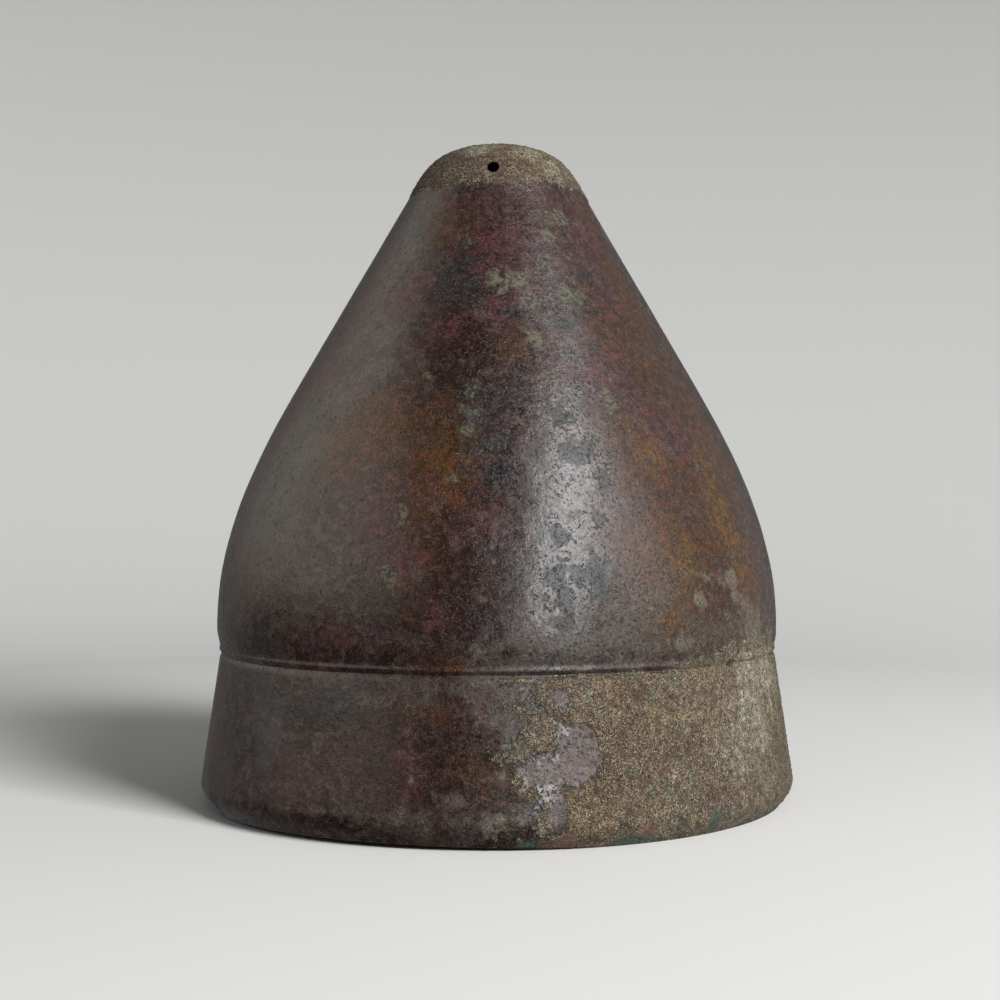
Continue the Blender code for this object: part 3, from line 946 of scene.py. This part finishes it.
def patina_coat(tree, grain):
    """The hard dark skin itself: mottled brown oxides, smooth where polished and dull in between."""
    brown, grey_brown, nearly_black, worn = PATINA
    colour = mottled(tree, grain.broad[0], HALF, brown, grey_brown)
    colour = mottled(tree, grain.blotch[0], THIRD, colour, nearly_black, 0.8)
    colour = mottled(tree, grain.mottle[1], THIRD, colour, worn, 0.8)
    colour = mottled(tree, grain.mottle[2], SIXTH, colour, nearly_black, 0.7)
    gloss = {"From Min": GLOSS_SPAN[0], "From Max": GLOSS_SPAN[1], "To Min": GLOSS, "To Max": DULL}
    return Coat(colour, add(tree, "ShaderNodeMapRange", {"Value": grain.fleck[0], **gloss}))


def pores(tree, grain):
    """Small pores and scratches in the skin, closer together where it is gritty and blotched."""
    gritty = add(tree, "ShaderNodeAttribute", attribute_name="gritty").outputs["Fac"]
    eaten = grain.fleck[2]
    for more, share in (
        (grain.blotch[2], PORES_BY_BLOTCH),
        (grain.grit[2], PORES_BY_GRAIN),
        (gritty, PORES_BY_GRIT),
    ):
        eaten = add(tree, "ShaderNodeMath", {0: more, 1: share, 2: eaten}, operation="MULTIPLY_ADD")
    limits = {"Value": eaten, "From Min": PORE_SPAN[0], "From Max": PORE_SPAN[1]}
    return add(tree, "ShaderNodeMapRange", limits, interpolation_type="SMOOTHSTEP")


def pitting(tree, grain, place):
    """Clusters of small round pits, each with a lighter core, where the metal is pitted."""
    cells = {"Vector": place, "Scale": per(PIT_SPACING)}
    pit = add(tree, "ShaderNodeTexVoronoi", cells).outputs["Distance"]
    limits = {"Value": pit, "From Min": PIT_RIM[0], "From Max": PIT_RIM[1]}
    inside = add(tree, "ShaderNodeMapRange", limits, interpolation_type="SMOOTHSTEP")
    limits = {"Value": pit, "From Min": PIT_CORE[0], "From Max": PIT_CORE[1]}
    outside_core = add(tree, "ShaderNodeMapRange", limits, interpolation_type="SMOOTHSTEP")
    ring_shape = add(tree, "ShaderNodeMath", {0: inside, 1: outside_core}, operation="MULTIPLY")
    area = stain_cover(tree, grain, "pitted")
    return add(tree, "ShaderNodeMath", {0: ring_shape, 1: area}, operation="MULTIPLY")


# %% The sandy crust's colours
BROWN_SAND, OLIVE_SAND, TAN_SAND, PALE_SAND = "534636", "4A4739", "5F503D", "A39B85"
# The crust's darkest colour: painted shade in a ring round its edge, and dark specks in the sand
EDGE_SHADE_AND_SPECKS = "1E1813"
SAND_SPAN = (0.34, 0.54)
CRUST_DULL = 0.9


def crust_coat(tree, grain):
    """Sand, lime and earth cemented by the bronze's own salts, light and dark from grain to grain."""
    colour = mottled(tree, grain.blotch[1], HALF, BROWN_SAND, OLIVE_SAND)
    colour = mottled(tree, grain.mottle[2], HALF, colour, TAN_SAND, 0.8)
    colour = with_stains(tree, grain, Coat(colour, CRUST_DULL), STAINS_IN_CRUST).colour
    colour = toned(tree, colour, grain.mottle[0], 0.65, 1.35)
    colour = toned(tree, colour, grain.fleck[1], 0.55, 1.45)
    earthy = toned(tree, colour, grain.grit[1], 0.40, 1.50)
    sandy = toned(tree, colour, grain.grit[1], 0.00, 2.40)
    sandy = mottled(tree, grain.grit[2], SIXTH, sandy, PALE_SAND, 0.75)
    colour = mottled(tree, grain.mottle[1], SAND_SPAN, earthy, sandy)
    return Coat(mottled(tree, grain.grit[0], SIXTH, colour, EDGE_SHADE_AND_SPECKS, 0.85), CRUST_DULL)


# %% The fine relief of the skin and of the crust
POLISH_DEPTH = 0.05 * MM
FLECK_DEPTH = 0.03 * MM
# The grit lies in patches: none below the first value of the mottles, all past the second
GRIT_DEPTH, GRIT_IN = 0.07 * MM, (0.40, 0.65)
PORE_DEPTH = 0.05 * MM
PIT_DEPTH = 0.14 * MM
SAND_LUMP_DEPTH = 0.34 * MM
SAND_GRAIN_DEPTH = 0.55 * MM


def relief_of(tree, depths):
    """The sum of several patterns, each times its own depth."""
    height = 0.0
    for pattern, depth in depths:
        height = add(tree, "ShaderNodeMath", {0: pattern, 1: depth, 2: height}, operation="MULTIPLY_ADD")
    return height


def skin_bump(tree, grain, crust, pore, pits):
    """Too fine for the mesh: ripples, grit, pores and pits in the polish, and grains in the sand."""
    ripples = ((grain.mottle[0], POLISH_DEPTH), (grain.fleck[0], FLECK_DEPTH))
    span = {"From Min": GRIT_IN[0], "From Max": GRIT_IN[1], "To Max": GRIT_DEPTH}
    grit_depth = add(tree, "ShaderNodeMapRange", {"Value": grain.mottle[1], **span})
    grit = (grain.grit[0], grit_depth)
    skin = relief_of(tree, (*ripples, (pore, -PORE_DEPTH), (pits, -PIT_DEPTH), grit))
    sand = relief_of(tree, ((grain.fleck[1], SAND_LUMP_DEPTH), (grain.grit[1], SAND_GRAIN_DEPTH)))
    height = add(tree, "ShaderNodeMix", {"Factor": crust, "A": skin, "B": sand})
    return add(tree, "ShaderNodeBump", {"Height": height, "Distance": 1.0, "Strength": 1.0})


# %% Polished bronze patina, with its stains and its crust
BRONZE_SKIN_IOR = 1.65
CRUST_FRAY = 2.2
CRUST_SOFTNESS = 0.5
# The dark ring just outside the crust is painted shade under its proud edge: how strong it is and where
# it lies
SHADE_SHARE = 0.5
SHADE_SPAN, CRUST_SPAN = (1.38, 1.52), (1.50, 1.72)


def crust_edge(tree, grain, span, share=1.0):
    """Where the crust lies: its cover and its own weight, broken up into grains where they thin out."""
    cover = add(tree, "ShaderNodeAttribute", attribute_name="crust_cover").outputs["Fac"]
    weight = add(tree, "ShaderNodeAttribute", attribute_name="crust").outputs["Fac"]
    cover = add(tree, "ShaderNodeMix", {"Factor": CRUST_SOFTNESS, "A": cover, "B": weight})
    dusted = {0: grain.fleck[0], 1: CRUST_FRAY, 2: cover}
    dusted = add(tree, "ShaderNodeMath", dusted, operation="MULTIPLY_ADD")
    limits = {"Value": dusted, "From Min": span[0], "From Max": span[1], "To Max": share}
    return add(tree, "ShaderNodeMapRange", limits, interpolation_type="SMOOTHSTEP")


def aged_bronze():
    """Hard dark patina with a glaze's gloss, stains of minerals and painted sheen, and a dull sandy
    crust.
    """
    made, tree, place = new_finish("polished_bronze_patina")
    grain = burial_grain(tree, place)
    skin = with_stains(tree, grain, patina_coat(tree, grain), STAINS_IN_SKIN)
    pore = pores(tree, grain)
    pits = pitting(tree, grain, place)
    skin = laid_over(tree, skin, pore, PORE_BLACK, PORE_DULL)
    skin = laid_over(tree, skin, pits, PORE_BLACK, PIT_DULL)
    colour = toned(tree, skin.colour, grain.fleck[1], 0.60, 1.40)
    colour = toned(tree, colour, grain.grit[1], 0.40, 1.65)
    skin = Coat(mottled(tree, grain.grit[0], RARE, colour, PALE_GRAIN, 0.35), skin.roughness)

    # Painted shade: a dark ring just outside the crust's edge
    shade = crust_edge(tree, grain, SHADE_SPAN, SHADE_SHARE)
    crust = crust_edge(tree, grain, CRUST_SPAN)
    sand = crust_coat(tree, grain)
    coat = laid_over(tree, skin, shade, EDGE_SHADE_AND_SPECKS, CRUST_DULL)
    coat = laid_over(tree, coat, crust, sand.colour, sand.roughness)
    coat = with_stains(tree, grain, coat, STAINS_ON_TOP)

    bump = skin_bump(tree, grain, crust, pore, pits)
    look = {"Base Color": coat.colour, "Roughness": coat.roughness, "Normal": bump}
    shader = add(tree, "ShaderNodeBsdfPrincipled", {**look, "IOR": BRONZE_SKIN_IOR})
    add(tree, "ShaderNodeOutputMaterial", {"Surface": shader})
    return made


# %% [markdown]
# ## The inside
# Nobody polished the inside: it keeps the dull brown of raised bronze with pale earth caught in it. It is
# a second material on the wall's inner faces, because the hollow is seen from below.

# %% Unpolished bronze inside
INSIDE_DULL = 0.75


def inside_bronze():
    """Dull brown bronze with thin green and earthy films, rough enough to show no highlight."""
    made, tree, place = new_finish("unpolished_bronze_inside")
    grain = burial_grain(tree, place)
    brown = mottled(tree, grain.broad[0], HALF, "4B3A2E", "5C4A3A")
    brown = mottled(tree, grain.blotch[1], SIXTH, brown, "6F6A50")
    brown = mottled(tree, grain.mottle[2], SIXTH, brown, "2E2621")
    height = relief_of(tree, ((grain.mottle[0], SAND_LUMP_DEPTH), (grain.fleck[0], SAND_GRAIN_DEPTH)))
    bump = add(tree, "ShaderNodeBump", {"Height": height, "Distance": 1.0, "Strength": 1.0})
    look = {"Base Color": brown, "Roughness": INSIDE_DULL, "Normal": bump}
    shader = add(tree, "ShaderNodeBsdfPrincipled", look)
    add(tree, "ShaderNodeOutputMaterial", {"Surface": shader})
    return made


wall.data.materials.clear()
wall.data.materials.append(aged_bronze())
wall.data.materials.append(inside_bronze())
print("nodes in each finish:", [len(finish.node_tree.nodes) for finish in wall.data.materials])
is_outside = np.zeros(len(wall.data.vertices), np.float32)
wall.data.attributes["outside"].data.foreach_get("value", is_outside)
corners = np.zeros(len(wall.data.loops), np.int32)
wall.data.loops.foreach_get("vertex_index", corners)
first_corner = np.zeros(len(wall.data.polygons), np.int32)
wall.data.polygons.foreach_get("loop_start", first_corner)
inner_face = (np.minimum.reduceat(is_outside[corners], first_corner) < 0.5).astype(np.int32)
wall.data.polygons.foreach_set("material_index", inner_face)
wall.data.shade_smooth()
print("inner faces:", int(inner_face.sum()))

# %% [markdown]
# ## Loose grains on the crust
# Sand and mineral grains are cemented into the crust, and they catch the light one by one along the
# silhouette. A Geometry Nodes tree scatters a 20-sided pebble over the crust, pressed flat and half sunk.
# A particle system could do it too, but its result couldn't be read back as one plain mesh.

# %% Sandy grains


def grain_finish():
    """Quartz, lime and ochre grains, dull, each of its own tone."""
    made, tree, place = new_finish("cemented_sand_grains")
    grain = burial_grain(tree, place)
    sand = crust_coat(tree, grain)
    look = {"Base Color": sand.colour, "Roughness": sand.roughness}
    shader = add(tree, "ShaderNodeBsdfPrincipled", look)
    add(tree, "ShaderNodeOutputMaterial", {"Surface": shader})
    return made


GRAINS = {
    "Grains per square metre": 230000.0,
    "Smallest grain": 0.18 * MM,
    "Largest grain": 0.50 * MM,
    "Seed": 5,
    "Finish": grain_finish(),
}


def grain_tree():
    """Scatters flattened pebbles over the wall where the crust covers it."""
    tree = geometry_tree("crust_grains", GRAINS)
    given = add(tree, "NodeGroupInput").outputs
    cover = add(tree, "GeometryNodeInputNamedAttribute", {"Name": "crust_cover"}, data_type="FLOAT")
    free = add(tree, "GeometryNodeInputNamedAttribute", {"Name": "free"}, data_type="FLOAT")
    share = add(tree, "ShaderNodeMath", {0: cover, 1: free}, operation="MULTIPLY")
    # The cube thins the grains out quickly where the crust ends
    inner = add(tree, "ShaderNodeMath", {0: share, 1: 3.0}, operation="POWER")
    amount = {0: inner, 1: given["Grains per square metre"]}
    density = add(tree, "ShaderNodeMath", amount, operation="MULTIPLY")
    spread = {"Mesh": given["Geometry"], "Density": density, "Seed": given["Seed"]}
    scattered = add(tree, "GeometryNodeDistributePointsOnFaces", spread)
    pebble = add(tree, "GeometryNodeMeshIcoSphere", {"Radius": 1.0, "Subdivisions": 1})
    flat = add(tree, "GeometryNodeTransform", {"Geometry": pebble, "Scale": (1.0, 0.8, 0.55)})
    sizes = {"Min": given["Smallest grain"], "Max": given["Largest grain"], "Seed": given["Seed"]}
    size = add(tree, "FunctionNodeRandomValue", sizes, data_type="FLOAT")
    angles = {"Min": 0.0, "Max": math.tau, "Seed": given["Seed"]}
    turn = add(tree, "FunctionNodeRandomValue", angles, data_type="FLOAT")
    spin = add(tree, "ShaderNodeCombineXYZ", {"Z": turn})
    rotated = {"Rotation": scattered.outputs["Rotation"], "Rotate By": spin}
    rotation = add(tree, "FunctionNodeRotateRotation", rotated, rotation_space="LOCAL")
    placed = {"Points": scattered, "Instance": flat, "Rotation": rotation, "Scale": size}
    instances = add(tree, "GeometryNodeInstanceOnPoints", placed)
    real = add(tree, "GeometryNodeRealizeInstances", {"Geometry": instances})
    painted = add(tree, "GeometryNodeSetMaterial", {"Geometry": real, "Material": given["Finish"]})
    add(tree, "NodeGroupOutput", {"Geometry": painted})
    return tree


grain_mesh = grown(wall, grain_tree(), GRAINS)
grain_mesh.name = "crust_grains"
grains = bpy.data.objects.new("crust_grains", grain_mesh)
bpy.context.scene.collection.objects.link(grains)
print("grains:", len(grain_mesh.polygons) // 20, "of 20 faces each")

# %% Give the pieces their place in the frame
for piece in (wall, grains):
    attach(piece, "root")
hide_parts(CAD_NODE)
print("pieces:", [piece.name for piece in (wall, grains)])

# %% [markdown]
# ## The studio
# The photograph has a seamless pale sweep, one large soft light from the front right and darkness behind
# the camera, which the dark patina mirrors. The sweep is turned all round the helmet, so that each view
# has the same plain ground. Its flat middle lights the helmet from below, and its wall is for the eye
# alone. Neither shows in the gloss, because the dark floor near a real camera doesn't either. The world
# gives the gloss its room, two cards give it its highlights, and one key light does all the shading, so
# that highlights and shading can each be matched to the photograph without spoiling the other.

# %% Floor and sweep
FLOOR_RADIUS = 0.62
SWEEP_RADIUS = 0.75
WALL_TOP = 1.6
BEND_STEPS = 24
# The paper darkens up the wall to the top tone by this height: painted falloff of the light
PAPER_BELOW, SHADED_PAPER_ABOVE, PAPER_SHADED_BY = "EAEAE8", "C0C0BE", 0.9


def sweep_outline():
    """From the middle of the floor out, round the bend and up the wall, as radius and height."""
    bend = [(i / BEND_STEPS) * math.pi / 2 for i in range(BEND_STEPS + 1)]
    curve = [
        (FLOOR_RADIUS + SWEEP_RADIUS * math.sin(turn), SWEEP_RADIUS * (1 - math.cos(turn)))
        for turn in bend
    ]
    return [(0, 0), *curve, (FLOOR_RADIUS + SWEEP_RADIUS, WALL_TOP)]


def turned_stage(name, outline, columns=96):
    """A stage surface turned about Z, which faces the helmet."""
    shape = bmesh.new()
    path = [shape.verts.new((radius, 0, height)) for radius, height in outline]
    edges = [shape.edges.new(pair) for pair in zip(path, path[1:])]
    about = {"axis": (0, 0, 1), "cent": (0, 0, 0), "angle": math.tau}
    bmesh.ops.spin(shape, geom=path + edges, steps=columns, **about)
    bmesh.ops.remove_doubles(shape, verts=shape.verts, dist=0.0001)
    bmesh.ops.recalc_face_normals(shape, faces=shape.faces)
    middle = min(shape.faces, key=lambda face: face.calc_center_median().length)
    if middle.normal.z < 0:
        bmesh.ops.reverse_faces(shape, faces=shape.faces)
    mesh = bpy.data.meshes.new(name)
    shape.to_mesh(mesh)
    shape.free()
    mesh.shade_smooth()
    made = bpy.data.objects.new(name, mesh)
    bpy.context.scene.collection.objects.link(made)
    return made


def sweep_finish():
    """Matt grey paper with painted shade up the wall, seen from above only: from below the hollow shows.
    """
    made, tree, place = new_finish("studio_sweep_paper")
    height = add(tree, "ShaderNodeSeparateXYZ", {0: place}).outputs["Z"]
    # Painted light falloff: the paper grows darker with height
    high = add(tree, "ShaderNodeMapRange", {"Value": height, "From Min": 0.0, "From Max": PAPER_SHADED_BY})
    tones = {"Factor": high, "A": PAPER_BELOW, "B": SHADED_PAPER_ABOVE}
    colour = add(tree, "ShaderNodeMix", tones, data_type="RGBA")
    paper = add(tree, "ShaderNodeBsdfDiffuse", {"Color": colour})
    below = add(tree, "ShaderNodeNewGeometry").outputs["Backfacing"]
    clear = add(tree, "ShaderNodeBsdfTransparent")
    surface = add(tree, "ShaderNodeMixShader", {0: below, 1: paper, 2: clear})
    add(tree, "ShaderNodeOutputMaterial", {"Surface": surface})
    return made


paper = sweep_finish()
outline = sweep_outline()
floor = turned_stage("floor", outline[:2])
sweep = turned_stage("sweep", outline[1:])
for stage_piece in (floor, sweep):
    stage_piece.data.materials.append(paper)
floor.visible_glossy = False
sweep.visible_diffuse = False
sweep.visible_glossy = False
sweep.visible_shadow = False
print("sweep, m across:", round(2 * (FLOOR_RADIUS + SWEEP_RADIUS), 2))

# %% Lights


def at(azimuth, elevation, distance):
    """A point round the helmet. Azimuth 0 is the camera's side and 90 is towards +X."""
    turn, rise = math.radians(azimuth), math.radians(elevation)
    level = distance * math.cos(rise)
    return Vector((level * math.sin(turn), -level * math.cos(turn), distance * math.sin(rise)))


def soft_box(name, place, width, height, radiance, lean=0.0):
    """A rectangular soft light that faces the helmet, leaning by some degrees towards its left. Its power
    follows from how bright its face is."""
    light = bpy.data.lights.new(name, "AREA")
    light.shape = "RECTANGLE"
    light.size = width
    light.size_y = height
    light.energy = radiance * width * height * math.pi
    lamp = bpy.data.objects.new(name, light)
    lamp.location = HELMET_MIDDLE + place
    lamp.rotation_euler = (-place).to_track_quat("-Z", "Y").to_euler()
    lamp.rotation_euler.rotate_axis("Z", math.radians(lean))
    lamp.visible_camera = False
    bpy.context.scene.collection.objects.link(lamp)
    return lamp


HELMET_MIDDLE = Vector((0, 0, 0.12))
# Each has its place, its width and height in metres and the radiance of its face
key = soft_box("key_light", at(42, 29, 2.5), 0.90, 1.10, 26.0)
key.visible_glossy = False
front_card = soft_box("front_card", at(32, 25, 1.15), 0.32, 1.30, 8.8, lean=-22)
front_card.visible_diffuse = False
side_card = soft_box("side_card", at(61, 30, 1.3), 0.55, 1.55, 1.7)
side_card.visible_diffuse = False
print("lights, W:", {lamp.name: round(lamp.data.energy, 1) for lamp in (key, front_card, side_card)})

# %% What the sky lights, and what the gloss mirrors
# Each span reads one part of the way that a reflection goes: X to the right, Y away from the camera, Z up
SKY_COLOUR = "7C7C7C"
LEFT_CARD_COLOUR = "FDF3E6"
ROOM_BEHIND = {"From Min": -0.2, "From Max": 0.7, "To Min": 0.02, "To Max": 0.15}
LEFT_CARD_EDGE = {"From Min": -0.42, "From Max": -0.70, "To Min": 0.0, "To Max": 1.0}
LEFT_CARD_FOOT = {"From Min": -0.05, "From Max": 0.26}
LEFT_CARD_END = {"From Min": 0.85, "From Max": 0.20, "To Min": 0.25, "To Max": 1.0}
RIGHT_CARD_EDGE = {"From Min": 0.40, "From Max": 0.80, "To Min": 0.0, "To Max": 0.22}


def room_in_gloss(tree):
    """A dim room with a pale card on the left, dark behind the camera, by the way a reflection goes."""
    way = add(tree, "ShaderNodeTexCoord").outputs["Generated"]
    parts = add(tree, "ShaderNodeSeparateXYZ", {0: way}).outputs
    shares = []
    for axis, span in (
        ("Y", ROOM_BEHIND),
        ("X", LEFT_CARD_EDGE),
        ("Z", LEFT_CARD_FOOT),
        ("Y", LEFT_CARD_END),
        ("X", RIGHT_CARD_EDGE),
    ):
        limits = {"Value": parts[axis], **span}
        shares.append(add(tree, "ShaderNodeMapRange", limits, interpolation_type="SMOOTHSTEP"))
    behind, edge, foot, end, right = shares
    card = add(tree, "ShaderNodeMath", {0: edge, 1: foot}, operation="MULTIPLY")
    card = add(tree, "ShaderNodeMath", {0: card, 1: end}, operation="MULTIPLY")
    room = add(tree, "ShaderNodeMath", {0: behind, 1: right})
    dim = add(tree, "ShaderNodeMix", {"Factor": room, "A": "000000", "B": "FFFFFF"}, data_type="RGBA")
    return add(tree, "ShaderNodeMix", {"Factor": card, "A": dim, "B": LEFT_CARD_COLOUR}, data_type="RGBA")


def studio_world():
    """Even pale light for matt surfaces, and the room for reflections."""
    world = bpy.data.worlds.new("studio")
    world.use_nodes = True
    tree = world.node_tree
    tree.nodes.clear()
    glossy = add(tree, "ShaderNodeLightPath").outputs["Is Glossy Ray"]
    seen = {"Factor": glossy, "A": SKY_COLOUR, "B": room_in_gloss(tree)}
    seen = add(tree, "ShaderNodeMix", seen, data_type="RGBA")
    light = add(tree, "ShaderNodeBackground", {"Color": seen})
    add(tree, "ShaderNodeOutputWorld", {"Surface": light})
    bpy.context.scene.world = world


studio_world()
bpy.context.scene.view_settings.view_transform = "Standard"
print("world:", bpy.context.scene.world.name)

# %% [markdown]
# ## The camera
# The horizon of the photograph runs through its middle, so the camera looks level. The rim's curve
# against the shoulder's curve gives its distance, and the helmet's width gives the lens.

# %% Camera at the photograph's viewing angle
CAMERA_DISTANCE = 0.670
CAMERA_HEIGHT = 0.1152
CAMERA_SIDE = 0.0008
HALF_VIEW = 0.1971
SENSOR = 36.0

camera_data = bpy.data.cameras.new("camera")
camera_data.sensor_width = SENSOR
camera_data.lens = SENSOR / 2 * CAMERA_DISTANCE / HALF_VIEW
camera = bpy.data.objects.new("camera", camera_data)
camera.location = (CAMERA_SIDE, -CAMERA_DISTANCE, CAMERA_HEIGHT)
camera.rotation_euler = (math.pi / 2, 0, 0)
bpy.context.scene.collection.objects.link(camera)
bpy.context.scene.camera = camera
print("lens, mm:", round(camera_data.lens, 1))
